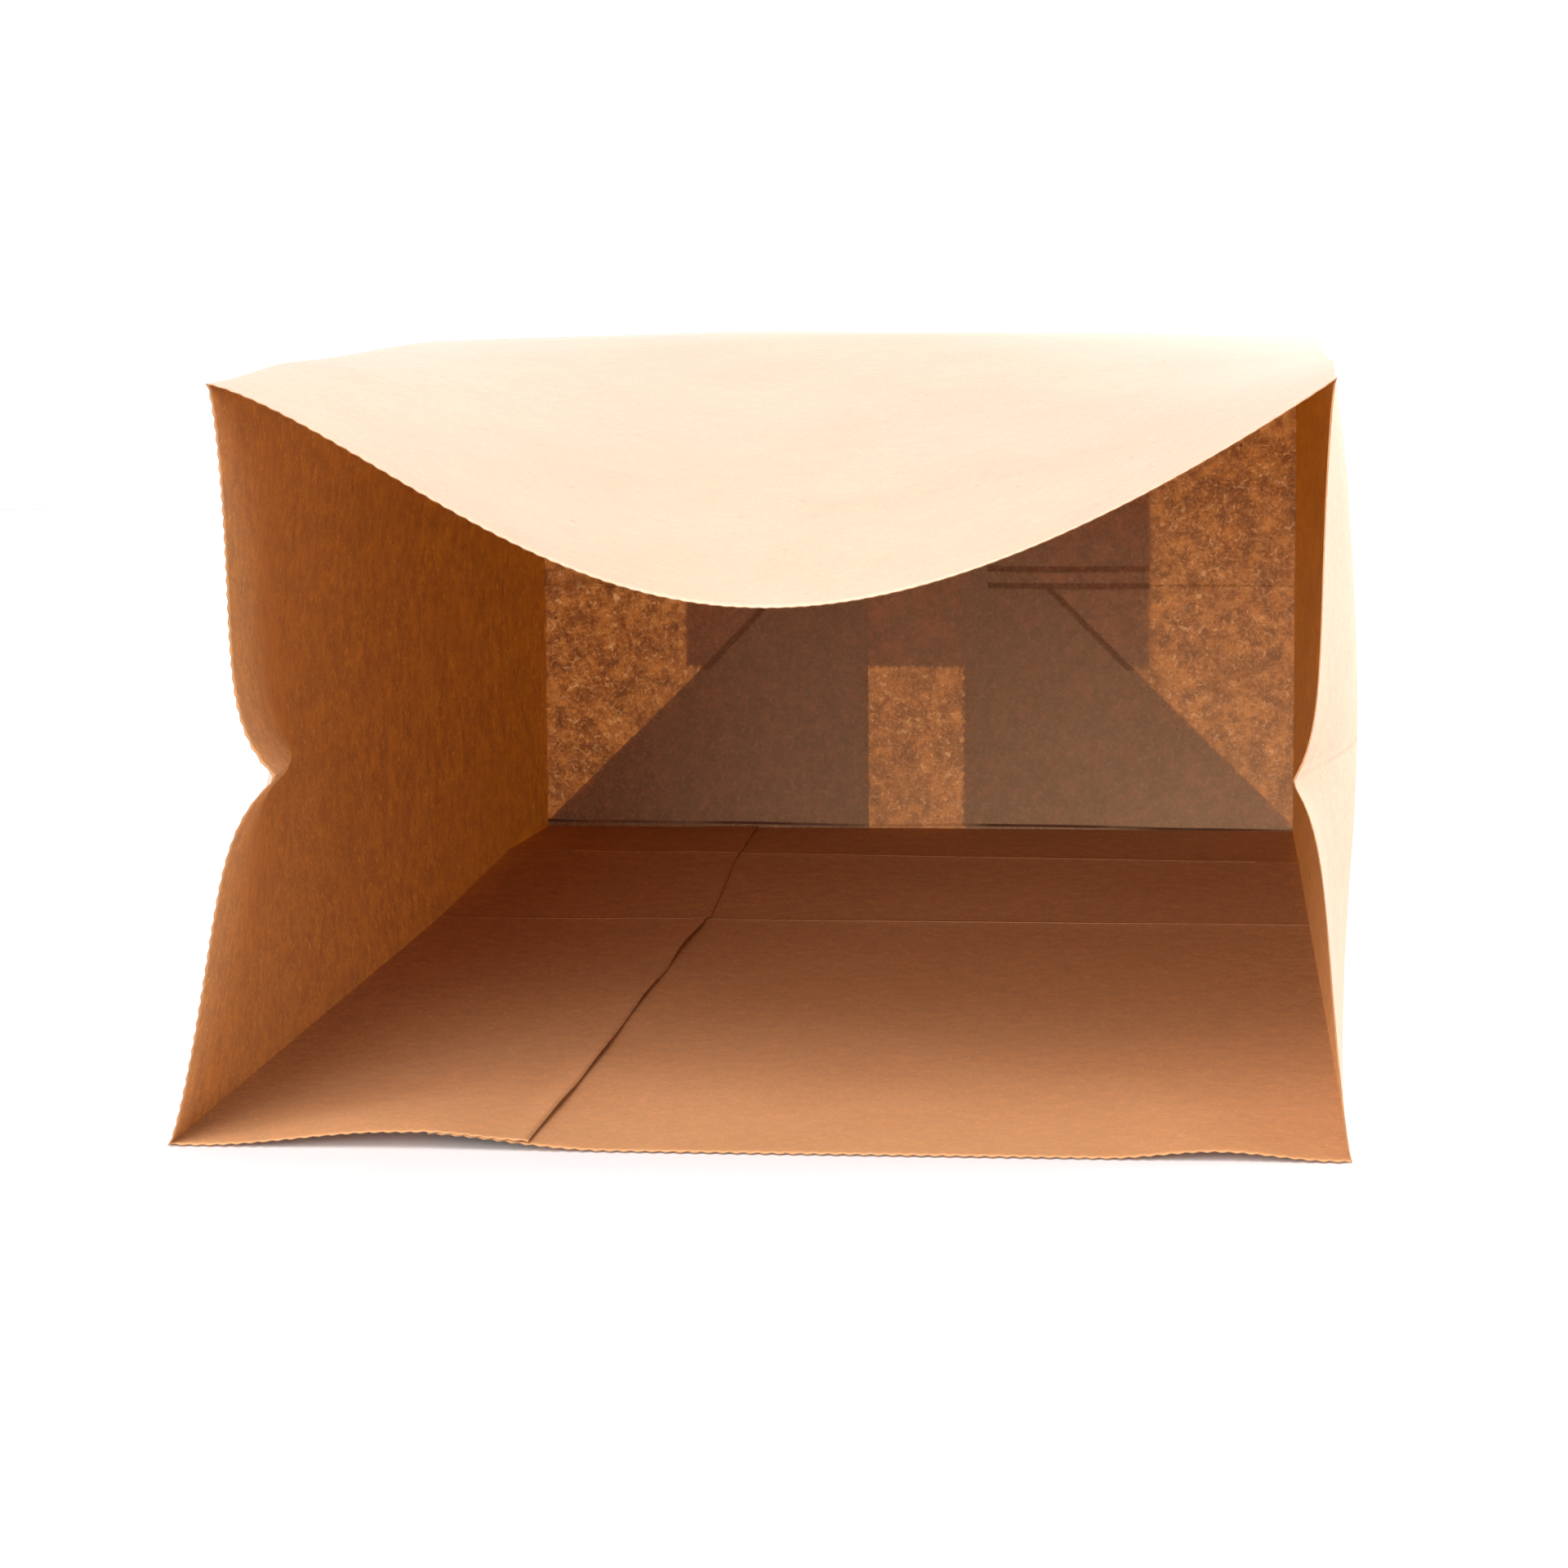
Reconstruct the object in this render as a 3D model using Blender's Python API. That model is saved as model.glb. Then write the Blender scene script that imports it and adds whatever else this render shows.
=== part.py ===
"""Brown paper lunch bag: a block-bottom kraft sack, lying open on its wide glued face.

The bag is one folded sheet. X runs across its width, +Y from the mouth to the block bottom
and +Z up. The wide face with the long glued seam lies on the floor, the opposite face sags at
the mouth, and the two gussets are the side walls. The bottom is pasted from four flaps.
"""
import math

import bmesh
import bpy
from mathutils import Vector

# Driving dimensions, in metres
WIDTH = 0.13335          # 5 1/4 in, across the wide faces
GUSSET = 0.0873          # 3 7/16 in, the bag's depth
LENGTH = 0.2778          # 10 15/16 in, mouth to bottom
PAPER = 0.00012          # one ply of kraft paper
EMBED = 0.00002          # how far glued plies press into each other
PLY_STEP = PAPER - EMBED

# The block bottom
FLAP = 0.058             # length of the side flaps and of the lower flap
TONGUE_INSET = 0.0255    # from a side edge to the tongue of the upper flap
TONGUE_GAP = 0.0287      # from the lower edge to the end of that tongue

# The long seam on the lower face
SEAM_X = -0.0252         # the raw edge that shows inside the bag
SEAM_OVERLAP = 0.0115

# The sagging upper face
MOUTH_SAG = 0.0249
SAG_REACH = 0.150        # the sag fades out this far behind the mouth
SAG_EASE = 1.5           # above 1, the sag fades quickly at first
DIP_LEFT = 1.3           # exponent of the mouth's curve at its left end
DIP_RIGHT = 0.97         # and at its right end, which is rounder
CROWN = 0.0015           # rise of the face behind the sag
CROWN_AT = 0.180
CROWN_HALF = 0.1116      # half the length over which it rises and falls

# Folds pressed in when the bag was flat
PACK_FOLD = 0.169        # fold across every wall, behind the mouth
BOTTOM_FOLD = LENGTH - GUSSET / 2
BOTTOM_RIDGE = 0.0010    # the lower face rises this much at the bottom fold
RIDGE_SKEW = 1.2         # and more on the left: the share by which the two sides differ

# Gussets at the mouth: a shallow arch with a sharp centre crease, and a belly behind it that
# is highest above the middle where "lean" is more than 1
CREASE_AT = 0.488        # share of the gusset's height
CREASE_WIDTH = 0.06      # share of that height over which the crease rounds off
ARCH_EASE = 0.7          # below 1, the arch is flatter in its middle
BULGE_EASE = 0.56        # below 1, the bulge is deepest near the mouth
LEFT = {"arch": 0.0042, "crease": 0.0060, "bulge": 0.0030, "fade": 0.046, "lean": 1.0}
RIGHT = {"arch": 0.0023, "crease": 0.0033, "bulge": 0.0030, "fade": 0.024, "lean": 1.35}

# Corner lines of the upper face: (behind the mouth, in from the side plane, height)
UPPER_LEFT = ((0.0, 0.0064, 0.0861), (0.060, 0.0036, 0.0874), (0.169, 0.0004, 0.0883), (0.2778, 0.0, 0.0873))
UPPER_RIGHT = ((0.0, 0.0025, 0.0863), (0.060, 0.0012, 0.0871), (0.169, 0.0002, 0.0880), (0.2778, 0.0, 0.0873))

# Waves of the lower lip at the mouth: (centre, half width, height)
LIP_WAVES = ((-0.040, 0.024, 0.0018), (0.052, 0.013, 0.0009))
LIP_REACH = 0.030

# How finely the sheet is divided: cross-sections by depth, and points round each one
DEPTHS = (0.0, 0.004, 0.009, 0.015, 0.022, 0.030, 0.040, 0.052, 0.066, 0.082, 0.100, 0.120, 0.145,
          PACK_FOLD, 0.195, 0.215, BOTTOM_FOLD, 0.256, LENGTH - PAPER)
RISES = (0.0, 0.08, 0.17, 0.27, 0.36, 0.43, 0.465, CREASE_AT, 0.51, 0.55, 0.62, 0.71, 0.81, 0.91)
LOWER_STEPS = 22
UPPER_STEPS = 26

KRAFT = (0.62, 0.42, 0.26, 1.0)
ROUGHNESS = 0.85


def smooth(value):
    """Ease from 0 to 1."""
    value = min(1.0, max(0.0, value))
    return value * value * (3 - 2 * value)


def along(stations, depth, column):
    """Read one column of a corner line at a depth behind the mouth, eased between stations."""
    for near, far in zip(stations, stations[1:]):
        if depth <= far[0]:
            part = smooth((depth - near[0]) / (far[0] - near[0]))
            return near[column] + (far[column] - near[column]) * part
    return stations[-1][column]


def bump(distance, half_width):
    """A rounded hump, 1 at its centre and 0 beyond its half width."""
    if abs(distance) >= half_width:
        return 0.0
    return math.cos(distance / half_width * math.pi / 2) ** 2


def floor_height(x, depth):
    """Height of the lower face: waves at the lip and the ridge of the bottom fold."""
    fade = math.exp(-(depth / LIP_REACH) ** 2)
    lift = sum(height * bump(x - centre, half) for centre, half, height in LIP_WAVES) * fade
    ridge = BOTTOM_RIDGE * (1 - RIDGE_SKEW * x / WIDTH)
    if depth <= PACK_FOLD:
        return lift
    if depth <= BOTTOM_FOLD:
        return lift + ridge * (depth - PACK_FOLD) / (BOTTOM_FOLD - PACK_FOLD)
    return lift + ridge * (LENGTH - depth) / (LENGTH - BOTTOM_FOLD)


def corner(side, depth):
    """Upper corner point of the section on one side, -1 left or +1 right."""
    stations = UPPER_LEFT if side < 0 else UPPER_RIGHT
    return side * (WIDTH / 2 - along(stations, depth, 1)), along(stations, depth, 2)


def upper_face(across, depth):
    """Point of the upper face, across from 0 at the left corner to 1 at the right."""
    left, right = corner(-1, depth), corner(1, depth)
    x = left[0] + (right[0] - left[0]) * across
    chord = left[1] + (right[1] - left[1]) * across
    arch = max(0.0, math.sin(math.pi * across))
    dip = arch ** (DIP_LEFT + (DIP_RIGHT - DIP_LEFT) * smooth(across))
    sag = MOUTH_SAG * max(0.0, 1 - depth / SAG_REACH) ** SAG_EASE
    crown = CROWN * bump(depth - CROWN_AT, CROWN_HALF) * arch
    return x, depth, chord - sag * dip + crown


def gusset(side, up, depth):
    """Point of a side wall, up from 0 at the lower corner to 1 at the upper."""
    form = LEFT if side < 0 else RIGHT
    low = (side * WIDTH / 2, floor_height(side * WIDTH / 2, depth))
    high = corner(side, depth)
    near = math.exp(-(depth / form["fade"]) ** 2)
    far = math.sin(math.pi * min(1.0, depth / LENGTH) ** BULGE_EASE)
    arch = math.sin(math.pi * up) if 0 < up < 1 else 0.0
    belly = math.sin(math.pi * up ** form["lean"]) if 0 < up < 1 else 0.0
    crease = form["crease"] * math.exp(-abs(up - CREASE_AT) / CREASE_WIDTH) * (arch > 0)
    inward = near * (form["arch"] * arch ** ARCH_EASE + crease) - far * (1 - near) * form["bulge"] * belly
    x = low[0] + (high[0] - low[0]) * up - side * inward
    return x, depth, low[1] + (high[1] - low[1]) * up


def spread(count, start=0.0, end=1.0):
    """Evenly spaced values, both ends included."""
    return [start + (end - start) * i / count for i in range(count + 1)]


def section(depth):
    """One closed ring of the paper's outer surface, anticlockwise seen from the mouth."""
    ring = []
    for x in spread(LOWER_STEPS, -WIDTH / 2, WIDTH / 2)[:-1]:
        ring.append((x, depth, floor_height(x, depth)))
    ring += [gusset(1, up, depth) for up in RISES]
    ring += [upper_face(1 - across, depth) for across in spread(UPPER_STEPS)[:-1]]
    ring += [gusset(-1, up, depth) for up in (1.0,) + RISES[:0:-1]]
    return ring


def link(name, mesh):
    """Put a mesh in the scene as a named object."""
    thing = bpy.data.objects.new(name, mesh)
    bpy.context.scene.collection.objects.link(thing)
    return thing


def finish_mesh(name, builder):
    """Write a bmesh to a mesh with its faces pointing outwards."""
    bmesh.ops.recalc_face_normals(builder, faces=builder.faces)
    mesh = bpy.data.meshes.new(name)
    builder.to_mesh(mesh)
    builder.free()
    return mesh


def make_tube(name):
    """The four walls: cross-sections bridged into a tube, then given the paper's thickness."""
    builder = bmesh.new()
    rings = [[builder.verts.new(point) for point in section(depth)] for depth in DEPTHS]
    for near, far in zip(rings, rings[1:]):
        for i in range(len(near)):
            j = (i + 1) % len(near)
            builder.faces.new((near[i], far[i], far[j], near[j]))
    tube = link(name, finish_mesh(name, builder))
    paper = tube.modifiers.new("paper", "SOLIDIFY")
    paper.thickness = PAPER
    paper.offset = -1
    paper.use_even_offset = True
    return tube


def make_seam(name):
    """The glued overlap: a second ply along the lower face, ending in the raw edge inside."""
    builder = bmesh.new()
    edges = spread(2, SEAM_X - SEAM_OVERLAP, SEAM_X)
    rings = []
    for depth in DEPTHS:
        under = [(x, depth, floor_height(x, depth) + PLY_STEP) for x in edges]
        over = [(x, depth, z + PAPER) for x, depth, z in reversed(under)]
        rings.append([builder.verts.new(point) for point in under + over])
    for near, far in zip(rings, rings[1:]):
        for i in range(len(near)):
            j = (i + 1) % len(near)
            builder.faces.new((near[i], far[i], far[j], near[j]))
    builder.faces.new(rings[0])
    builder.faces.new(list(reversed(rings[-1])))
    return link(name, finish_mesh(name, builder))


def make_flap(name, outline, slot):
    """One pasted ply of the bottom: an outline in the bottom's plane, extruded one ply thick."""
    builder = bmesh.new()
    start = LENGTH - PAPER - slot * PLY_STEP
    face = builder.faces.new([builder.verts.new((x, start, z)) for x, z in outline])
    made = bmesh.ops.extrude_face_region(builder, geom=[face])
    moved = [item for item in made["geom"] if isinstance(item, bmesh.types.BMVert)]
    bmesh.ops.translate(builder, verts=moved, vec=Vector((0, PAPER, 0)))
    return link(name, finish_mesh(name, builder))


def flap_outlines():
    """Outlines of the bottom's plies as (name, outline, slot), slot 0 outermost."""
    half = WIDTH / 2
    side = half - FLAP
    plies = []
    for sign, label in ((-1, "left"), (1, "right")):
        points = ((side, 0.0), (half, 0.0), (half, GUSSET), (side, GUSSET))
        plies.append((f"{label}_flap", [(sign * x, z) for x, z in points], 2))
    lower = [(-half, 0.0), (half, 0.0), (side, FLAP), (-side, FLAP)]
    plies.append(("lower_flap", lower, 1))
    inner = half - TONGUE_INSET
    upper = [(-half, GUSSET), (-inner, GUSSET - TONGUE_INSET), (-inner, TONGUE_GAP), (inner, TONGUE_GAP),
             (inner, GUSSET - TONGUE_INSET), (half, GUSSET)]
    plies.append(("upper_flap", upper, 0))
    return plies


def kraft_material():
    """Brown kraft paper."""
    material = bpy.data.materials.new("kraft_paper")
    material.use_nodes = True
    shader = material.node_tree.nodes["Principled BSDF"]
    shader.inputs["Base Color"].default_value = KRAFT
    shader.inputs["Roughness"].default_value = ROUGHNESS
    shader.inputs["Metallic"].default_value = 0.0
    return material


def glue(body, ply):
    """Join a ply to the body; the ply itself becomes a hidden guide."""
    join = body.modifiers.new(ply.name, "BOOLEAN")
    join.operation = "UNION"
    join.solver = "EXACT"
    join.object = ply
    ply.hide_render = True
    ply.display_type = "WIRE"


def main():
    for thing in list(bpy.data.objects):
        bpy.data.objects.remove(thing, do_unlink=True)
    bag = make_tube("paper_bag")
    for name, outline, slot in flap_outlines():
        glue(bag, make_flap(name, outline, slot))
    glue(bag, make_seam("seam"))
    bag.data.materials.append(kraft_material())
    for thing in bpy.data.objects:
        thing.location.y = -LENGTH / 2


main()
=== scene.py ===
"""Brown paper lunch bag: the looks.

The bag is one sheet of kraft paper. It is modelled here the way it is folded: the walls are one
sheet that overlaps itself at the long glued seam, and the bottom is made of its four pasted flaps.
Every ply lets some light through, so a single ply glows and several plies look dark.
Distances are in metres. Depth runs from the mouth to the bottom, along +Y.
"""
import math

import bmesh
import bpy
from mathutils import Matrix, Vector, noise


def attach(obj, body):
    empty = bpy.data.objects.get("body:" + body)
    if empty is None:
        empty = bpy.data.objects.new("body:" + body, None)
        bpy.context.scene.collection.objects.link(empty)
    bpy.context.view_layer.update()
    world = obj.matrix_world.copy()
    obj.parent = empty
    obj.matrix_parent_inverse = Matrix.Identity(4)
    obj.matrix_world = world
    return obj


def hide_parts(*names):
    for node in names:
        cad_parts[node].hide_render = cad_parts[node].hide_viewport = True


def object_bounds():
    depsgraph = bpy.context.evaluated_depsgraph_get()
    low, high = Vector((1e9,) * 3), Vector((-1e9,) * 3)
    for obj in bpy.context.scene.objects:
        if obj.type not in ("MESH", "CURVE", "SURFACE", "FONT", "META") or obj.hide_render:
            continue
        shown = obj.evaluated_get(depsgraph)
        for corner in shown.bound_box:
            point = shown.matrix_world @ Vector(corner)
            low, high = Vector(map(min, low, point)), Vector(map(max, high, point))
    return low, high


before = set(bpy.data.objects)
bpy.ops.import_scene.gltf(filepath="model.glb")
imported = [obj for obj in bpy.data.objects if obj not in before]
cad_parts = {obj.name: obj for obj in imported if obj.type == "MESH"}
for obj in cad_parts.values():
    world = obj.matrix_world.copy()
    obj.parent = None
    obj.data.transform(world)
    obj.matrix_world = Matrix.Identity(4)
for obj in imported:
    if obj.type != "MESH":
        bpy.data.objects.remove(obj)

CAD_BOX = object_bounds()

# The folded sheet, as in the CAD model
WIDTH = 0.13335
GUSSET = 0.0873
LENGTH = 0.2778
PAPER = 0.00012
FLAP = 0.058
TONGUE_INSET = 0.0255
TONGUE_GAP = 0.0287
SEAM_X = -0.0252
SEAM_OVERLAP = 0.0115
PACK_FOLD = 0.169
BOTTOM_FOLD = LENGTH - GUSSET / 2
BOTTOM_RIDGE = 0.0010
RIDGE_SKEW = 1.2

# What the looks add to the folds: a small peak, this high and this far to each side
FOLD_PEAK = 0.00014
FOLD_REACH = 0.0032

# The seam's raw edge inside: it stands up a little, unevenly, and wavers
SEAM_LIFT = 0.0005
SEAM_LIFT_LEVEL = 0.6    # share of the lift that the unevenness is added to
SEAM_LIFT_SIZE = 0.02
SEAM_LIFT_PATTERN = (0.5, 0.5)
SEAM_CURL = 0.004        # the edge stands up over this width
SEAM_CLIMB = 0.003       # the sheet climbs onto the ply under it over this width
SEAM_FLATTENS = 0.02     # behind the packing fold the edge lies down over this length
SEAM_LAID = 0.8          # by this share
SEAM_WAVER = 0.0004
SEAM_WAVER_SIZE = 0.024
SEAM_WAVER_PATTERN = (0.3, 0.7)
SEAM_STEP = 0.0005       # the edge jogs this much at the packing fold
SEAM_SLANT = -0.034      # and slants behind it
PLY_RISE = 0.000138      # a ply under the sheet lifts it this much

# The saw-tooth cut of the mouth and of the flaps' raw edges
TOOTH_PITCH = 0.0015875
TOOTH_DEPTH = 0.0007
TOOTH_FADE = 0.004       # the cross-sections behind the mouth follow its teeth this far

# The bottom's flaps
FOLD_EDGE = 0.00001      # their folded edges stay this far inside the walls' outer surface
FLAP_CLEAR = 0.0004      # the side flaps stay this far above the lower face
TUCK_CLEAR = 0.001
FLAP_PAPER = 0.000108    # thinner than a ply, so that neighbours don't touch

# The sagging upper face
MOUTH_SAG = 0.0249
SAG_REACH = 0.150
SAG_EASE = 1.5
DIP_LEFT = 1.3           # exponents of the mouth's curve at its two ends
DIP_RIGHT = 0.97
CROWN = 0.0015
CROWN_AT = 0.180
CROWN_HALF = 0.1116

# The gussets at the mouth, and their bulge behind it, higher up where "lean" is more than 1
CREASE_AT = 0.488
CREASE_WIDTH = 0.06
ARCH_EASE = 0.7
BULGE_EASE = 0.56
LEFT = {"arch": 0.0042, "crease": 0.0060, "bulge": 0.0030, "fade": 0.046, "lean": 1.0}
RIGHT = {"arch": 0.0023, "crease": 0.0033, "bulge": 0.0030, "fade": 0.024, "lean": 1.35}

# Corner lines of the upper face: (depth, in from the side plane, height)
UPPER_LEFT = ((0.0, 0.0064, 0.0861), (0.060, 0.0036, 0.0874), (0.169, 0.0004, 0.0883), (0.2778, 0.0, 0.0873))
UPPER_RIGHT = ((0.0, 0.0025, 0.0863), (0.060, 0.0012, 0.0871), (0.169, 0.0002, 0.0880), (0.2778, 0.0, 0.0873))

# Waves of the lower lip: (centre, half width, height)
LIP_WAVES = ((-0.040, 0.024, 0.0018), (0.052, 0.013, 0.0009))
LIP_REACH = 0.030

# Slow ripples: (size, height)
UPPER_RIPPLE = (0.035, 0.0006)
UPPER_RIPPLE_PATTERN = 0.3
GUSSET_RIPPLE = (0.03, 0.0005)

# Spacing of the cross-sections, growing from the mouth and close beside each fold
FIRST_STEP = 0.0012
STEP_GROWTH = 1.12
LONGEST_STEP = 0.0055
END_ROOM = 0.002
FOLD_ROOM = 0.0022
FOLD_STEPS = (0.0012, 0.0004)
LAST_STEP = 0.00002
SHARP_ANGLE = math.radians(40)

# The camera, from the middle of the mouth's lower lip
CAMERA_FROM_LIP = (0.04892, -0.44929, 0.09649)
CAMERA_YAW = math.radians(5.718)
CAMERA_PITCH = math.radians(-6.911)
CAMERA_ROLL = math.radians(-0.353)
CAMERA_LENS = 94.42
SENSOR = 36.0

# Light of the white surround: everywhere, and in soft lobes (direction, sharpness, strength)
SURROUND = 0.7
GLOWS = (((0.0, 1.0, 0.0), 2.0, 0.35), ((0.0, -1.0, 0.0), 2.0, 1.8), ((-0.65, -0.76, 0.0), 4.0, 4.6))

# Lamps: (place, size, watts, colour)
WHITE = (1.0, 1.0, 1.0)
WARM = (1.0, 0.86, 0.90)
LAMPS = {
    "front_window": ((-0.32, -1.5, 0.30), 0.5, 15.5, WHITE),
    "front_top": ((-0.25, -0.75, 0.85), 0.6, 8.5, WARM),
    "right_side": ((1.1, 0.1, 0.35), 0.6, 18.0, WHITE),
    "behind": ((0.2, 1.2, 0.22), 0.5, 16.0, WHITE),
}

# The floor
FLOOR_HALF = 1.2
FLOOR_DROP = 0.0002
FLOOR_TONE = (0.60, 0.60, 0.60, 1.0)
FLOOR_ROUGHNESS = 0.7
FLOOR_SPECULAR = 0.2

# Each side of the paper: its tones, sheen and grain, how its pressed folds, flecks and
# fibres show, and whether it has the painted shadow in the crack; a "gusset_line" of 1 hides the gussets'
# centre line
# The outer side's tones are paler than the inner side's: painted light, standing in for the strong light on
# the outer faces
OUTSIDE_PAINTED_LIGHT = {"kraft": (0.80, 0.55, 0.395, 1.0), "pale": (0.86, 0.61, 0.45, 1.0),
           "fold": (0.86, 0.63, 0.47, 1.0), "sheen": 0.15, "grain": 0.06, "crease": 0.5, "fold_tone_share": 0.4,
           "fleck": 0.2, "strand": 0.2, "gusset_line": 0.0, "gap_shadow": 0.0}
INSIDE = {"kraft": (0.715, 0.375, 0.164, 1.0), "pale": (0.765, 0.415, 0.19, 1.0),
          "fold": (0.80, 0.50, 0.28, 1.0), "sheen": 0.0, "grain": 0.02, "crease": 0.8, "fold_tone_share": 0.5,
          "fleck": 0.2, "strand": 0.12, "gusset_line": 1.0, "gap_shadow": 0.0}
# The bottom's inner side is darker than the walls' inner side: painted shade deep in the bag. Its pressed
# folds are darker still
PASTED_PAINTED_SHADE = {"kraft": (0.55, 0.345, 0.185, 1.0), "pale": (0.60, 0.385, 0.215, 1.0),
          "fold": (0.33, 0.16, 0.07, 1.0), "sheen": 0.0, "grain": 0.02, "crease": 1.0, "fold_tone_share": 0.7,
          "fleck": 0.1, "strand": 0.0, "gusset_line": 0.0, "gap_shadow": 1.0}
# The cut edge is darker than the faces: painted shade of its saw teeth
CUT_PAINTED_SHADE = {"kraft": (0.36, 0.20, 0.10, 1.0), "pale": (0.44, 0.26, 0.14, 1.0),
       "fold": (0.36, 0.20, 0.10, 1.0), "sheen": 0.0, "grain": 0.02, "crease": 0.0, "fold_tone_share": 0.0,
       "fleck": 0.1, "strand": 0.1, "gusset_line": 1.0, "gap_shadow": 0.0}

# Light let through a ply: where it is even, through pale fibres, and where it is dense
THROUGH_WALLS = {"even": (0.56, 0.30, 0.026, 1.0), "pale": (0.86, 0.56, 0.15, 1.0),
                 "dark": (0.27, 0.13, 0.01, 1.0)}
THROUGH_BOTTOM = {"even": (0.74, 0.43, 0.18, 1.0), "pale": (1.0, 0.78, 0.54, 1.0),
                  "dark": (0.31, 0.15, 0.05, 1.0)}
# Light let through the cut edge, darker too: painted shade of its saw teeth
THROUGH_CUT_PAINTED_SHADE = {"even": (0.30, 0.15, 0.03, 1.0), "pale": (0.40, 0.22, 0.06, 1.0),
               "dark": (0.20, 0.09, 0.01, 1.0)}
TRANSLUCENCY = 0.46
FIBRE_GLOW = 0.75
KRAFT_DARK = (0.40, 0.20, 0.09, 1.0)
# Dark of the flecks in the light let through, and of the painted shadow in the crack
FLECK_AND_GAP_SHADOW_DARK = (0.15, 0.055, 0.02, 1.0)

# Noise in the paper, coarse to fine: (scale, detail, roughness)
CLOUDS = (55.0, 3.0, 0.6)
PATCHES = (330.0, 3.0, 0.55)
MOTTLE = (900.0, 2.0, 0.65)
SPECKLES = (2300.0, 2.0, 0.6)
FLECKS = (620.0, 2.0, 0.5)
TONE_MIX = (0.7, 0.2, 0.1)             # of clouds, patches and speckles
TONE_RANGE = (0.3, 0.7)
FORMATION_MIX = (0.35, 0.3, 0.35)      # of patches, mottle and speckles
FORMATION_RANGE = (0.41, 0.59)
FLECK_RANGE = (0.72, 0.75)
MOTTLE_RANGE = (0.3, 0.7)
ROUGHNESS_RANGE = (0.72, 0.9)
SPECULAR = 0.35
SHEEN_ROUGHNESS = 0.35
GRAIN_HEIGHT = 0.00004
CREASE_HEIGHT = 0.0004

# Fibres: (scale, half width, how few), and the noise that cuts them short
FIBRES = ((520.0, 0.030, 0.52), (830.0, 0.040, 0.53))
FIBRE_NOISE = (1.0, 0.4)
FIBRE_BEND = 0.6
FIBRE_CUT_SCALE = 1.7
FIBRE_CUT_TURN = (0.7, 0.4, 1.1)
FIBRE_CUT_SOFT = 0.05

# Pressed fold lines
FOLD_WIDTH = 0.0007
FOLD_WAVE = 0.0016       # how far they drift from straight
FOLD_WAVE_SCALE = 28.0
GUSSET_EDGE = 0.0072     # a point of the walls nearer to a side plane than this is on a gusset
FLOOR_EDGE = GUSSET / 8  # and one lower than this is on the lower face
SECOND_FOLD = 0.0030     # above the middle fold of the bottom
MIDDLE_ENDS = 0.004      # the middle folds end this far from the side flaps' raw edges

# The painted shadow in the crack where the bottom's flaps meet the lower face: its height, width, tilt and
# breaks
GAP_HEIGHT = 0.0007
GAP_WIDTH = 0.00034
GAP_CORE = 0.4
GAP_TILT = 0.0075
GAP_NOISE = (40.0, 2.0, 0.5)
GAP_BREAKS = (0.36, 0.56, 0.25, 1.0)

NODE = "paper_bag"


def smooth(value):
    """Ease from 0 to 1."""
    value = min(1.0, max(0.0, value))
    return value * value * (3 - 2 * value)


def bump(distance, half_width):
    """A rounded hump, 1 at its centre and 0 beyond its half width."""
    if abs(distance) >= half_width:
        return 0.0
    return math.cos(distance / half_width * math.pi / 2) ** 2


def along(stations, depth, column):
    """Read one column of a corner line at a depth, eased between its stations."""
    for near, far in zip(stations, stations[1:]):
        if depth <= far[0]:
            part = smooth((depth - near[0]) / (far[0] - near[0]))
            return near[column] + (far[column] - near[column]) * part
    return stations[-1][column]


def waver(x, y, z, size, height):
    """Slow unevenness of a paper wall."""
    return height * noise.noise(Vector((x, y, z)) / size)


def floor_height(x, depth):
    """Height of the lower face: waves at the lip and the ridge of the bottom fold."""
    fade = math.exp(-(depth / LIP_REACH) ** 2)
    lift = sum(height * bump(x - centre, half) for centre, half, height in LIP_WAVES) * fade
    lift += FOLD_PEAK * (bump(depth - PACK_FOLD, FOLD_REACH) + bump(depth - BOTTOM_FOLD, FOLD_REACH))
    ridge = BOTTOM_RIDGE * (1 - RIDGE_SKEW * x / WIDTH)
    if depth <= PACK_FOLD:
        return lift
    if depth <= BOTTOM_FOLD:
        return lift + ridge * (depth - PACK_FOLD) / (BOTTOM_FOLD - PACK_FOLD)
    return lift + ridge * (LENGTH - depth) / (LENGTH - BOTTOM_FOLD)


def corner(side, depth):
    """Upper corner of a cross-section, side -1 left or +1 right."""
    stations = UPPER_LEFT if side < 0 else UPPER_RIGHT
    return side * (WIDTH / 2 - along(stations, depth, 1)), along(stations, depth, 2)


def upper_face(across, depth):
    """Point of the upper face, across from 0 at the left corner to 1 at the right."""
    left, right = corner(-1, depth), corner(1, depth)
    x = left[0] + (right[0] - left[0]) * across
    chord = left[1] + (right[1] - left[1]) * across
    arch = max(0.0, math.sin(math.pi * across))
    dip = arch ** (DIP_LEFT + (DIP_RIGHT - DIP_LEFT) * smooth(across))
    sag = MOUTH_SAG * max(0.0, 1 - depth / SAG_REACH) ** SAG_EASE
    crown = CROWN * bump(depth - CROWN_AT, CROWN_HALF) * arch
    ripple = waver(x, depth, UPPER_RIPPLE_PATTERN, *UPPER_RIPPLE) * arch
    ripple *= bump(depth - LENGTH / 2, LENGTH / 2)
    return Vector((x, depth, chord - sag * dip + crown + ripple))


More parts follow.
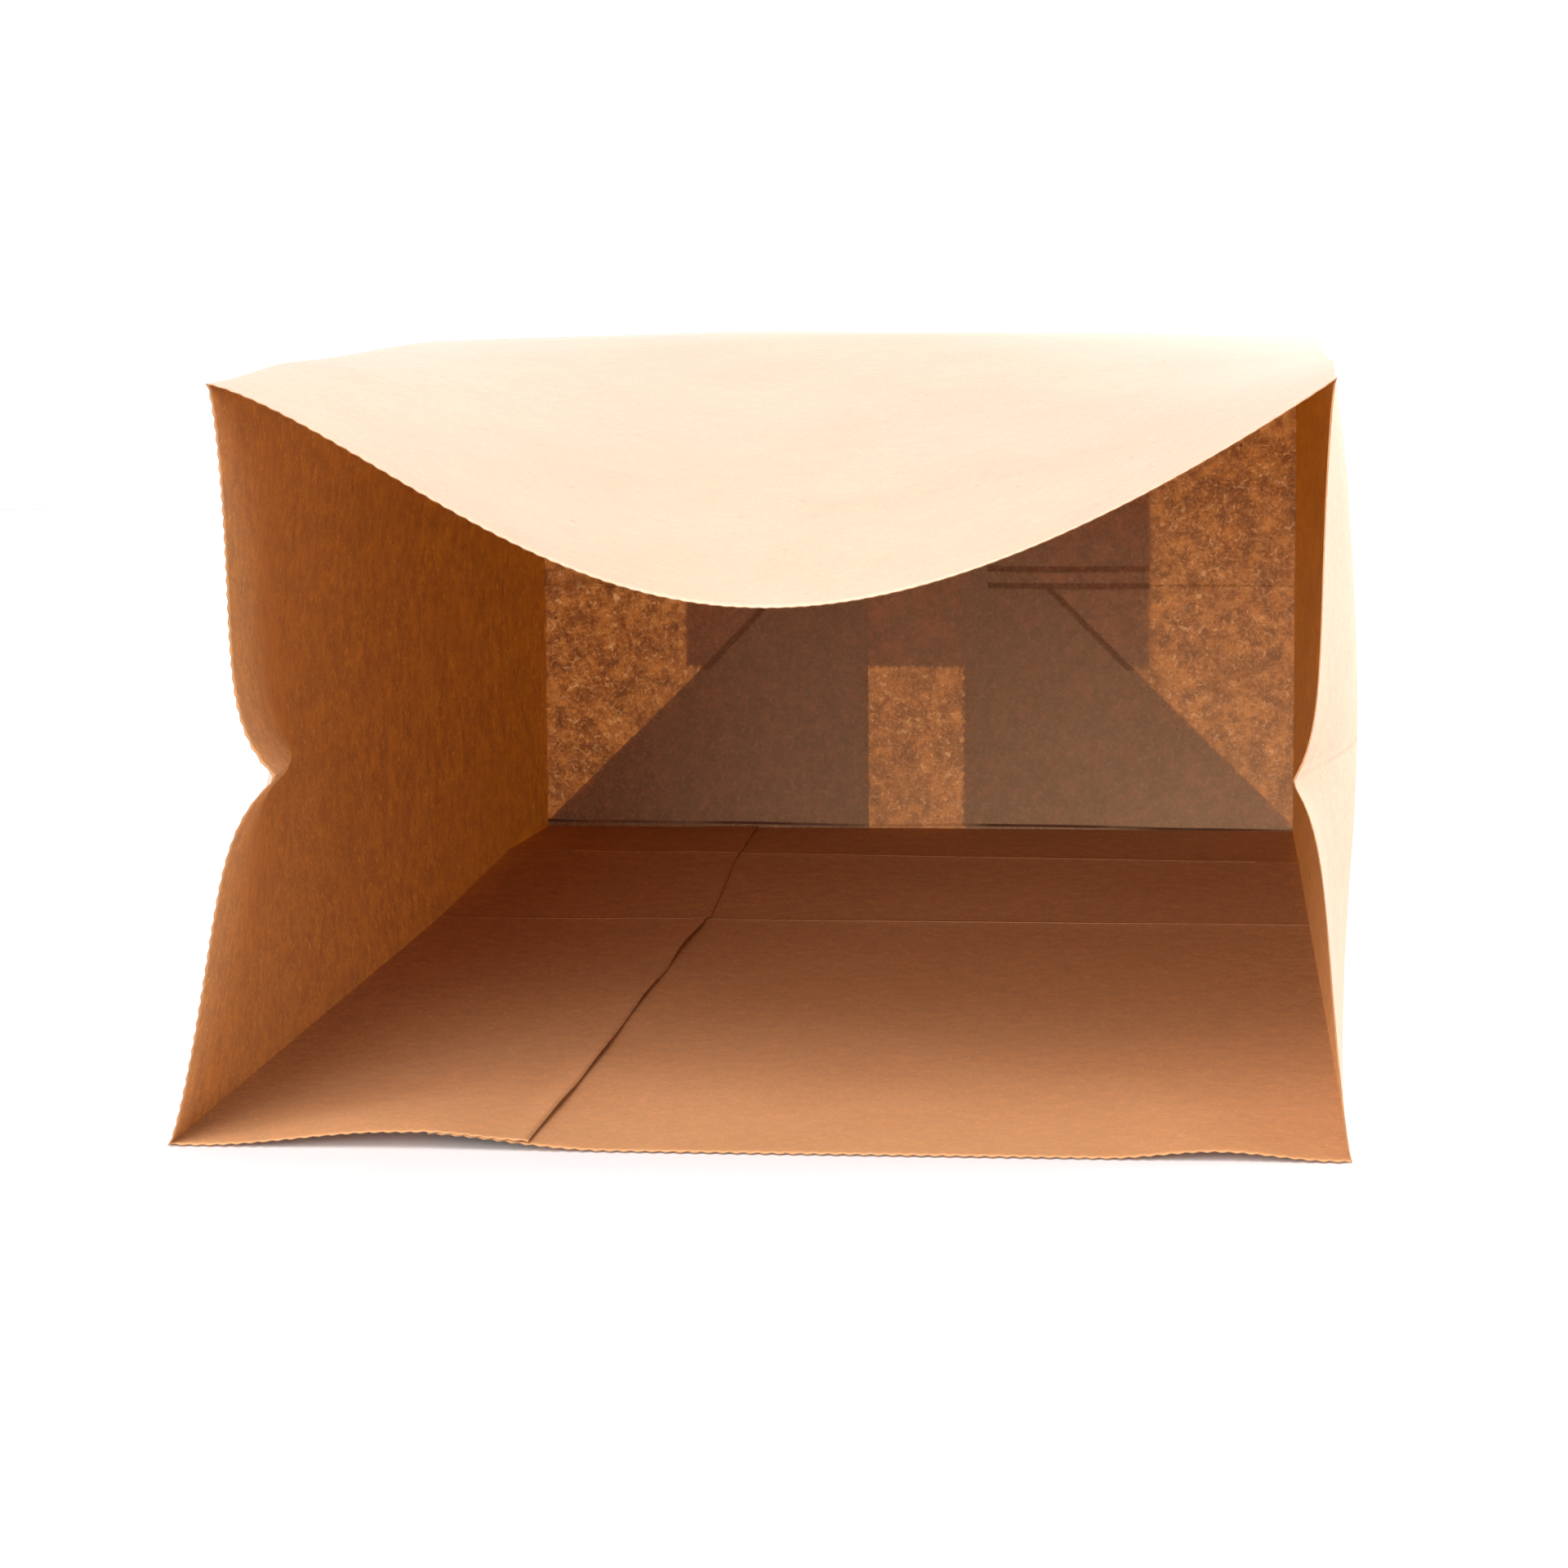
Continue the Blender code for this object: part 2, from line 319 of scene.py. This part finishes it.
def gusset(side, up, depth):
    """Point of a side wall, up from 0 at the lower corner to 1 at the upper."""
    form = LEFT if side < 0 else RIGHT
    low = (side * WIDTH / 2, floor_height(side * WIDTH / 2, depth))
    high = corner(side, depth)
    near = math.exp(-(depth / form["fade"]) ** 2)
    far = math.sin(math.pi * min(1.0, depth / LENGTH) ** BULGE_EASE)
    arch = math.sin(math.pi * up) if 0 < up < 1 else 0.0
    belly = math.sin(math.pi * up ** form["lean"]) if 0 < up < 1 else 0.0
    crease = form["crease"] * math.exp(-abs(up - CREASE_AT) / CREASE_WIDTH) * (arch > 0)
    inward = near * (form["arch"] * arch ** ARCH_EASE + crease) - far * (1 - near) * form["bulge"] * belly
    x = low[0] + (high[0] - low[0]) * up - side * inward
    ripple = waver(side, depth, up * GUSSET, *GUSSET_RIPPLE) * arch * far
    return Vector((x + ripple, depth, low[1] + (high[1] - low[1]) * up))


def lower_face(x, depth, plies):
    """Point of the lower face, raised by the plies that lie under it."""
    return Vector((x, depth, floor_height(x, depth) + plies * PLY_RISE))


def uneven(depth, size, pattern):
    """Slow unevenness along the bag, about 0."""
    return noise.noise(Vector((pattern[0], depth / size, pattern[1])))


def seam_edge(depth):
    """Place of the seam's raw edge at a depth."""
    edge = SEAM_X + SEAM_WAVER * uneven(depth, SEAM_WAVER_SIZE, SEAM_WAVER_PATTERN)
    if depth <= PACK_FOLD:
        return edge
    return edge + SEAM_STEP + SEAM_SLANT * (depth - PACK_FOLD)


def spread(count, start=0.0, end=1.0):
    """Evenly spaced values, both ends included."""
    return [start + (end - start) * i / count for i in range(count + 1)]


def depths():
    """Depths of the cross-sections: close at the mouth and beside each fold."""
    stations = [0.0]
    step = FIRST_STEP
    while stations[-1] + step < LENGTH - END_ROOM:
        stations.append(stations[-1] + step)
        step = min(step * STEP_GROWTH, LONGEST_STEP)
    for fold in (PACK_FOLD, BOTTOM_FOLD):
        stations = [depth for depth in stations if abs(depth - fold) > FOLD_ROOM]
        stations += [fold] + [fold + sign * away for away in FOLD_STEPS for sign in (-1, 1)]
    stations += [LENGTH - away for away in (*FOLD_STEPS, LAST_STEP)]
    return sorted(stations)


def section(depth):
    """The sheet's cross-section, from its outer edge at the seam round to its inner edge."""
    half_pitch = TOOTH_PITCH / 2
    first = SEAM_X - SEAM_OVERLAP
    right = round((WIDTH / 2 - first) / half_pitch)
    wide = round(WIDTH / half_pitch)
    deep = round(GUSSET / half_pitch)
    left = round((SEAM_X + WIDTH / 2) / half_pitch)
    path = [lower_face(x, depth, 0) for x in spread(right, first, WIDTH / 2)[:-1]]
    path += [gusset(1, up, depth) for up in spread(deep)[:-1]]
    path += [upper_face(1 - across, depth) for across in spread(wide)[:-1]]
    path += [gusset(-1, 1 - up, depth) for up in spread(deep)[:-1]]
    lift = SEAM_LIFT * (SEAM_LIFT_LEVEL + uneven(depth, SEAM_LIFT_SIZE, SEAM_LIFT_PATTERN))
    lift *= 1 - SEAM_LAID * smooth((depth - PACK_FOLD) / SEAM_FLATTENS)
    edge = seam_edge(depth)
    for x in spread(left, -WIDTH / 2, edge):
        point = lower_face(x, depth, smooth((x - first + SEAM_CLIMB) / SEAM_CLIMB))
        point.z += max(0.0, lift) * smooth((x - edge + SEAM_CURL) / SEAM_CURL)
        path.append(point)
    return path


def place(point):
    """From depth behind the mouth to the frame's Y."""
    return Vector((point[0], point[1] - LENGTH / 2, point[2]))


def new_piece(name, builder, materials):
    """Make an object of a bmesh, standing for the CAD bag."""
    mesh = bpy.data.meshes.new(name)
    builder.to_mesh(mesh)
    builder.free()
    piece = bpy.data.objects.new(name, mesh)
    bpy.context.scene.collection.objects.link(piece)
    for material in materials:
        mesh.materials.append(material)
    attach(piece, "root")
    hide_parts(NODE)
    return piece


def thicken(piece, thickness):
    """Give a sheet the paper's thickness; its inner side and cut edge take the next two materials."""
    paper = piece.modifiers.new("paper", "SOLIDIFY")
    paper.thickness = thickness
    paper.offset = -1
    paper.use_even_offset = True
    paper.material_offset = 1
    paper.material_offset_rim = 2


def make_walls(materials):
    """The four walls and the seam's overlap, cut in saw teeth at the mouth."""
    builder = bmesh.new()
    rows = []
    for depth in depths():
        fade = max(0.0, 1 - depth / TOOTH_FADE)
        row = []
        for i, point in enumerate(section(depth)):
            point.y += TOOTH_DEPTH * fade * (i % 2)
            row.append(builder.verts.new(place(point)))
        rows.append(row)
    for near, far in zip(rows, rows[1:]):
        for i in range(len(near) - 1):
            builder.faces.new((near[i], far[i], far[i + 1], near[i + 1]))
    walls = new_piece("bag_walls", builder, materials)
    walls.data.shade_smooth()
    walls.data.set_sharp_from_angle(angle=SHARP_ANGLE)
    thicken(walls, PAPER)


def toothed(start, end):
    """Points along a raw edge from start to end, cut in saw teeth to its left."""
    start, end = Vector(start), Vector(end)
    run = end - start
    count = max(2, round(run.length / TOOTH_PITCH) * 2)
    side = Vector((-run.y, run.x)).normalized() * TOOTH_DEPTH
    return [start + run * (i / count) + side * (i % 2) for i in range(count + 1)]


def make_flap(name, outline, slot, materials):
    """One pasted ply of the bottom, from its outline in X and Z; slot 0 is outermost."""
    builder = bmesh.new()
    depth = LENGTH - slot * PAPER
    face = builder.faces.new([builder.verts.new(place((x, depth, z))) for x, z in outline])
    face.normal_update()
    if face.normal.y < 0:
        face.normal_flip()
    bmesh.ops.triangulate(builder, faces=builder.faces)
    thicken(new_piece(name, builder, materials), FLAP_PAPER)


def make_bottom(materials):
    """The block bottom: side flaps inside, then the lower flap, then the upper flap's tongue."""
    half, inner = WIDTH / 2 - FOLD_EDGE, WIDTH / 2 - FLAP
    low, top = FOLD_EDGE, GUSSET - FOLD_EDGE
    for sign, label in ((-1, "left"), (1, "right")):
        edge = toothed((sign * inner, low + FLAP_CLEAR), (sign * inner, top))
        outline = [(point.x, point.y) for point in edge]
        outline += [(sign * half, top), (sign * half, low + FLAP_CLEAR)]
        make_flap(f"{label}_side_flap", outline, 3, materials)
        tuck = [(sign * half, low), (sign * half, low + TUCK_CLEAR)]
        tuck += [(sign * inner, FLAP), (sign * inner, low)]
        make_flap(f"{label}_tuck", tuck, 2, materials)
    lower = [(-half, low), (half, low)]
    lower += [(point.x, point.y) for point in toothed((inner, FLAP), (-inner, FLAP))]
    make_flap("lower_flap", lower, 1, materials)
    tongue = WIDTH / 2 - TONGUE_INSET
    upper = [(-half, top), (-tongue, top - TONGUE_INSET)]
    upper += [(point.x, point.y) for point in toothed((-tongue, TONGUE_GAP), (tongue, TONGUE_GAP))]
    upper += [(tongue, top - TONGUE_INSET), (half, top)]
    make_flap("upper_flap", upper, 0, materials)


class Nodes:
    """Short calls for building the nodes of a material or of the world."""

    def __init__(self, owner):
        owner.use_nodes = True
        self.tree = owner.node_tree
        self.tree.nodes.clear()

    def add(self, kind, **values):
        node = self.tree.nodes.new(kind)
        for name, value in values.items():
            setattr(node, name, value)
        return node

    def wire(self, source, target):
        self.tree.links.new(source, target)

    def put(self, target, value):
        if hasattr(value, "is_output"):
            self.wire(value, target)
        else:
            target.default_value = value

    def math(self, operation, *values):
        node = self.add("ShaderNodeMath", operation=operation)
        for target, value in zip(node.inputs, values):
            self.put(target, value)
        return node.outputs[0]

    def away(self, value, target):
        """Distance between two values."""
        return self.math("ABSOLUTE", self.math("SUBTRACT", value, target))

    def weigh(self, values, weights):
        """Sum of the values by their weights."""
        total = 0.0
        for value, weight in zip(values, weights):
            total = self.math("MULTIPLY_ADD", value, weight, total)
        return total

    def remap(self, value, low, high, to_low=0.0, to_high=1.0, ease="LINEAR"):
        node = self.add("ShaderNodeMapRange", interpolation_type=ease)
        for name, number in (("Value", value), ("From Min", low), ("From Max", high),
                             ("To Min", to_low), ("To Max", to_high)):
            self.put(node.inputs[name], number)
        return node.outputs["Result"]

    def blend(self, share, first, second):
        node = self.add("ShaderNodeMix", data_type="RGBA")
        self.put(node.inputs[0], share)
        self.put(node.inputs[6], first)
        self.put(node.inputs[7], second)
        return node.outputs[2]

    def noise(self, place, scale, detail, rough, distort=0.0):
        node = self.add("ShaderNodeTexNoise")
        self.wire(place, node.inputs["Vector"])
        for name, number in (("Scale", scale), ("Detail", detail), ("Roughness", rough),
                             ("Distortion", distort)):
            node.inputs[name].default_value = number
        return node.outputs["Fac"]

    def wavy(self, place, scale, size):
        """The place, moved slowly to and fro, so that straight lines waver."""
        drift = self.add("ShaderNodeTexNoise")
        self.wire(place, drift.inputs["Vector"])
        drift.inputs["Scale"].default_value = scale
        drift.inputs["Detail"].default_value = 1.0
        centred = self.add("ShaderNodeVectorMath", operation="SUBTRACT")
        self.wire(drift.outputs["Color"], centred.inputs[0])
        centred.inputs[1].default_value = (0.5, 0.5, 0.5)
        moved = self.add("ShaderNodeVectorMath", operation="MULTIPLY_ADD")
        self.wire(centred.outputs[0], moved.inputs[0])
        moved.inputs[1].default_value = (size, size, size)
        self.wire(place, moved.inputs[2])
        return moved.outputs[0]

    def choose(self, test, yes, no):
        """One value where the test is 1, and another where it is 0."""
        node = self.add("ShaderNodeMix", data_type="FLOAT")
        for target, value in zip((node.inputs[0], node.inputs[2], node.inputs[3]), (test, no, yes)):
            self.put(target, value)
        return node.outputs[0]

    def raised(self, height, strength, distance, normal=None):
        """A normal bumped by a height, on top of another normal if one is given."""
        node = self.add("ShaderNodeBump")
        node.inputs["Strength"].default_value = strength
        node.inputs["Distance"].default_value = distance
        self.wire(height, node.inputs["Height"])
        if normal:
            self.wire(normal, node.inputs["Normal"])
        return node.outputs["Normal"]

    def turned(self, place, turn):
        node = self.add("ShaderNodeMapping")
        self.wire(place, node.inputs["Vector"])
        node.inputs["Rotation"].default_value = turn
        return node.outputs["Vector"]


def wall_folds(nodes, x, y, z, side):
    """Distance to the nearest pressed fold line of the walls, in metres."""
    back = nodes.math("SUBTRACT", LENGTH / 2, y)
    rising = nodes.away(z, back)
    falling = nodes.away(nodes.math("SUBTRACT", GUSSET, z), back)
    diagonal = nodes.math("MULTIPLY", nodes.math("MINIMUM", rising, falling), math.sqrt(0.5))
    centre = nodes.math("ADD", nodes.away(z, CREASE_AT * GUSSET), side["gusset_line"])
    on_gusset = nodes.choose(nodes.math("LESS_THAN", back, GUSSET / 2), diagonal, centre)
    off_side = nodes.math("LESS_THAN", nodes.math("ABSOLUTE", x), WIDTH / 2 - GUSSET_EDGE)
    off_faces = nodes.math("SUBTRACT", 1.0, off_side)
    off_floor = nodes.math("GREATER_THAN", z, FLOOR_EDGE)
    pack = nodes.away(back, LENGTH - PACK_FOLD)
    bottom = nodes.away(back, LENGTH - BOTTOM_FOLD)
    on_side = nodes.math("ADD", on_gusset, off_side)
    on_floor = nodes.math("ADD", bottom, nodes.math("ADD", off_floor, off_faces))
    return nodes.math("MINIMUM", pack, nodes.math("MINIMUM", on_side, on_floor))


def bottom_folds(nodes, x, y, z, side):
    """Distance to the nearest pressed line of the bottom: its middle folds and its 45 degree folds."""
    inward = nodes.math("SUBTRACT", WIDTH / 2, nodes.math("ABSOLUTE", x))
    beside = nodes.math("LESS_THAN", inward, TONGUE_INSET)
    faint = nodes.math("MULTIPLY", beside, FOLD_WIDTH / 2)
    middle = nodes.math("ADD", nodes.away(z, GUSSET / 2), faint)
    second = nodes.math("ADD", nodes.away(z, GUSSET / 2 + SECOND_FOLD), beside)
    past_flap = nodes.math("GREATER_THAN", inward, FLAP - MIDDLE_ENDS)
    lines = nodes.math("ADD", nodes.math("MINIMUM", middle, second), past_flap)
    diagonal = nodes.math("MULTIPLY", nodes.away(inward, z), math.sqrt(0.5))
    above = nodes.math("GREATER_THAN", z, GUSSET / 2)
    below = nodes.math("LESS_THAN", z, TONGUE_GAP)
    return nodes.math("MINIMUM", lines, nodes.math("ADD", diagonal, nodes.math("ADD", above, below)))


def painted_gap_shadow(nodes, place, x, z):
    """Painted shadow in the crack where the bottom's flaps meet the lower face, a little tilted."""
    height = nodes.math("ADD", z, nodes.math("MULTIPLY", x, GAP_TILT))
    shade = nodes.remap(nodes.away(height, GAP_HEIGHT), GAP_WIDTH * GAP_CORE, GAP_WIDTH, 1.0, 0.0)
    return nodes.math("MULTIPLY", shade, nodes.remap(nodes.noise(place, *GAP_NOISE), *GAP_BREAKS))


def strands(nodes, place, scale, thin, sparse):
    """Thin curved fibres, cut short where a second noise is low."""
    line = nodes.away(nodes.noise(place, scale, *FIBRE_NOISE, FIBRE_BEND), 0.5)
    cut = nodes.noise(nodes.turned(place, FIBRE_CUT_TURN), scale * FIBRE_CUT_SCALE, *FIBRE_NOISE)
    here = nodes.remap(cut, sparse, sparse + FIBRE_CUT_SOFT)
    return nodes.math("MULTIPLY", nodes.remap(line, 0.0, thin, 1.0, 0.0), here)


def kraft_material(name, side, through_colours, folds):
    """Brown kraft: softly mottled, fibrous, matt, and glowing a little with the light behind it."""
    material = bpy.data.materials.new(name)
    nodes = Nodes(material)
    place = nodes.add("ShaderNodeTexCoord").outputs["Object"]
    parts = nodes.add("ShaderNodeSeparateXYZ")
    nodes.wire(nodes.wavy(place, FOLD_WAVE_SCALE, FOLD_WAVE), parts.inputs[0])
    x, y, z = parts.outputs

    clouds = nodes.noise(place, *CLOUDS)
    patches = nodes.noise(place, *PATCHES)
    mottle = nodes.noise(place, *MOTTLE)
    speckles = nodes.noise(place, *SPECKLES)
    fleck = nodes.remap(nodes.noise(place, *FLECKS), *FLECK_RANGE)
    fibres = nodes.math("MAXIMUM", *(strands(nodes, place, *kind) for kind in FIBRES))
    pressed = nodes.remap(folds(nodes, x, y, z, side), 0.0, FOLD_WIDTH, 1.0, 0.0, "SMOOTHSTEP")
    # Painted shadow in the crack, only on the sides that have it
    gap_shadow = nodes.math("MULTIPLY", painted_gap_shadow(nodes, place, x, z), side["gap_shadow"])

    tone = nodes.remap(nodes.weigh((clouds, patches, speckles), TONE_MIX), *TONE_RANGE)
    colour = nodes.blend(tone, side["kraft"], side["pale"])
    colour = nodes.blend(nodes.math("MULTIPLY", fibres, side["strand"]), colour, side["pale"])
    colour = nodes.blend(nodes.math("MULTIPLY", fleck, side["fleck"]), colour, KRAFT_DARK)
    # Pressed folds take the fold tone: paler on the walls, darker on the bottom's inner side
    colour = nodes.blend(nodes.math("MULTIPLY", pressed, side["fold_tone_share"]), colour, side["fold"])
    # Painted shadow in the crack
    colour = nodes.blend(gap_shadow, colour, FLECK_AND_GAP_SHADOW_DARK)

    formation = nodes.remap(nodes.weigh((patches, mottle, speckles), FORMATION_MIX), *FORMATION_RANGE)
    glow = nodes.blend(formation, through_colours["dark"], through_colours["even"])
    glow = nodes.blend(nodes.math("MULTIPLY", fibres, FIBRE_GLOW), glow, through_colours["pale"])
    # Flecks, and the painted shadow in the crack, darken the light let through
    glow = nodes.blend(nodes.math("MAXIMUM", fleck, gap_shadow), glow, FLECK_AND_GAP_SHADOW_DARK)

    normal = nodes.raised(mottle, side["grain"], GRAIN_HEIGHT)
    normal = nodes.raised(pressed, side["crease"], CREASE_HEIGHT, normal)
    paper = nodes.add("ShaderNodeBsdfPrincipled")
    nodes.wire(colour, paper.inputs["Base Color"])
    nodes.wire(nodes.remap(mottle, *MOTTLE_RANGE, *ROUGHNESS_RANGE), paper.inputs["Roughness"])
    paper.inputs["Specular IOR Level"].default_value = SPECULAR
    paper.inputs["Sheen Weight"].default_value = side["sheen"]
    paper.inputs["Sheen Roughness"].default_value = SHEEN_ROUGHNESS
    nodes.wire(normal, paper.inputs["Normal"])
    through = nodes.add("ShaderNodeBsdfTranslucent")
    nodes.wire(glow, through.inputs["Color"])
    nodes.wire(normal, through.inputs["Normal"])
    mix = nodes.add("ShaderNodeMixShader")
    mix.inputs[0].default_value = TRANSLUCENCY
    nodes.wire(paper.outputs[0], mix.inputs[1])
    nodes.wire(through.outputs[0], mix.inputs[2])
    out = nodes.add("ShaderNodeOutputMaterial")
    nodes.wire(mix.outputs[0], out.inputs["Surface"])
    return material


def make_floor():
    """A plain pale floor."""
    builder = bmesh.new()
    bmesh.ops.create_grid(builder, x_segments=1, y_segments=1, size=FLOOR_HALF)
    mesh = bpy.data.meshes.new("floor")
    builder.to_mesh(mesh)
    builder.free()
    floor = bpy.data.objects.new("floor", mesh)
    bpy.context.scene.collection.objects.link(floor)
    floor.location.z = CAD_BOX[0][2] - FLOOR_DROP
    material = bpy.data.materials.new("pale_floor")
    material.use_nodes = True
    shader = material.node_tree.nodes["Principled BSDF"]
    shader.inputs["Base Color"].default_value = FLOOR_TONE
    shader.inputs["Roughness"].default_value = FLOOR_ROUGHNESS
    shader.inputs["Specular IOR Level"].default_value = FLOOR_SPECULAR
    mesh.materials.append(material)


def make_light(name, location, size, power, colour):
    """A soft square lamp aimed at the bag."""
    lamp = bpy.data.lights.new(name, "AREA")
    lamp.size = size
    lamp.energy = power
    lamp.color = colour
    thing = bpy.data.objects.new(name, lamp)
    bpy.context.scene.collection.objects.link(thing)
    thing.location = location
    aim = Vector((0.0, 0.0, GUSSET / 2)) - Vector(location)
    thing.rotation_euler = aim.to_track_quat("-Z", "Y").to_euler()


def make_surround():
    """A white surround, brighter where soft light comes from."""
    world = bpy.data.worlds.new("studio")
    nodes = Nodes(world)
    way = nodes.add("ShaderNodeTexCoord").outputs["Generated"]
    strength = SURROUND
    for towards, sharpness, power in GLOWS:
        facing = nodes.add("ShaderNodeVectorMath", operation="DOT_PRODUCT")
        nodes.wire(way, facing.inputs[0])
        facing.inputs[1].default_value = Vector(towards).normalized()
        lobe = nodes.math("POWER", nodes.math("MAXIMUM", facing.outputs["Value"], 0.0), sharpness)
        strength = nodes.math("ADD", strength, nodes.math("MULTIPLY", lobe, power))
    back = nodes.add("ShaderNodeBackground")
    back.inputs["Color"].default_value = (*WHITE, 1.0)
    nodes.wire(strength, back.inputs["Strength"])
    nodes.wire(back.outputs[0], nodes.add("ShaderNodeOutputWorld").inputs["Surface"])
    bpy.context.scene.world = world


def light_scene():
    """Soft studio light, mostly from the front left, with a glow behind the bag."""
    make_surround()
    for name, (location, size, power, colour) in LAMPS.items():
        make_light(name, location, size, power, colour)
    view = bpy.context.scene.view_settings
    view.view_transform = "Standard"
    view.look = "None"
    view.exposure = 0.0


def make_camera():
    """The camera, a little above and to the right of the mouth."""
    lens = bpy.data.cameras.new("camera")
    lens.lens = CAMERA_LENS
    lens.sensor_width = SENSOR
    lens.clip_start = 0.01
    camera = bpy.data.objects.new("camera", lens)
    bpy.context.scene.collection.objects.link(camera)
    turn = Matrix.Rotation(CAMERA_YAW, 4, "Z") @ Matrix.Rotation(math.pi / 2 + CAMERA_PITCH, 4, "X")
    turn = turn @ Matrix.Rotation(CAMERA_ROLL, 4, "Z")
    camera.matrix_world = Matrix.Translation(place(CAMERA_FROM_LIP)) @ turn
    bpy.context.scene.camera = camera


def main():
    make_camera()
    make_walls([kraft_material("kraft_walls_outside_painted_light", OUTSIDE_PAINTED_LIGHT, THROUGH_WALLS, wall_folds),
                kraft_material("kraft_walls_inside", INSIDE, THROUGH_WALLS, wall_folds),
                kraft_material("kraft_walls_cut_painted_shade", CUT_PAINTED_SHADE, THROUGH_CUT_PAINTED_SHADE, wall_folds)])
    make_bottom([kraft_material("kraft_bottom_outside_painted_light", OUTSIDE_PAINTED_LIGHT, THROUGH_BOTTOM, bottom_folds),
                 kraft_material("kraft_bottom_inside_painted_shade", PASTED_PAINTED_SHADE, THROUGH_BOTTOM, bottom_folds),
                 kraft_material("kraft_bottom_cut_painted_shade", CUT_PAINTED_SHADE, THROUGH_CUT_PAINTED_SHADE, bottom_folds)])
    make_floor()
    light_scene()


main()
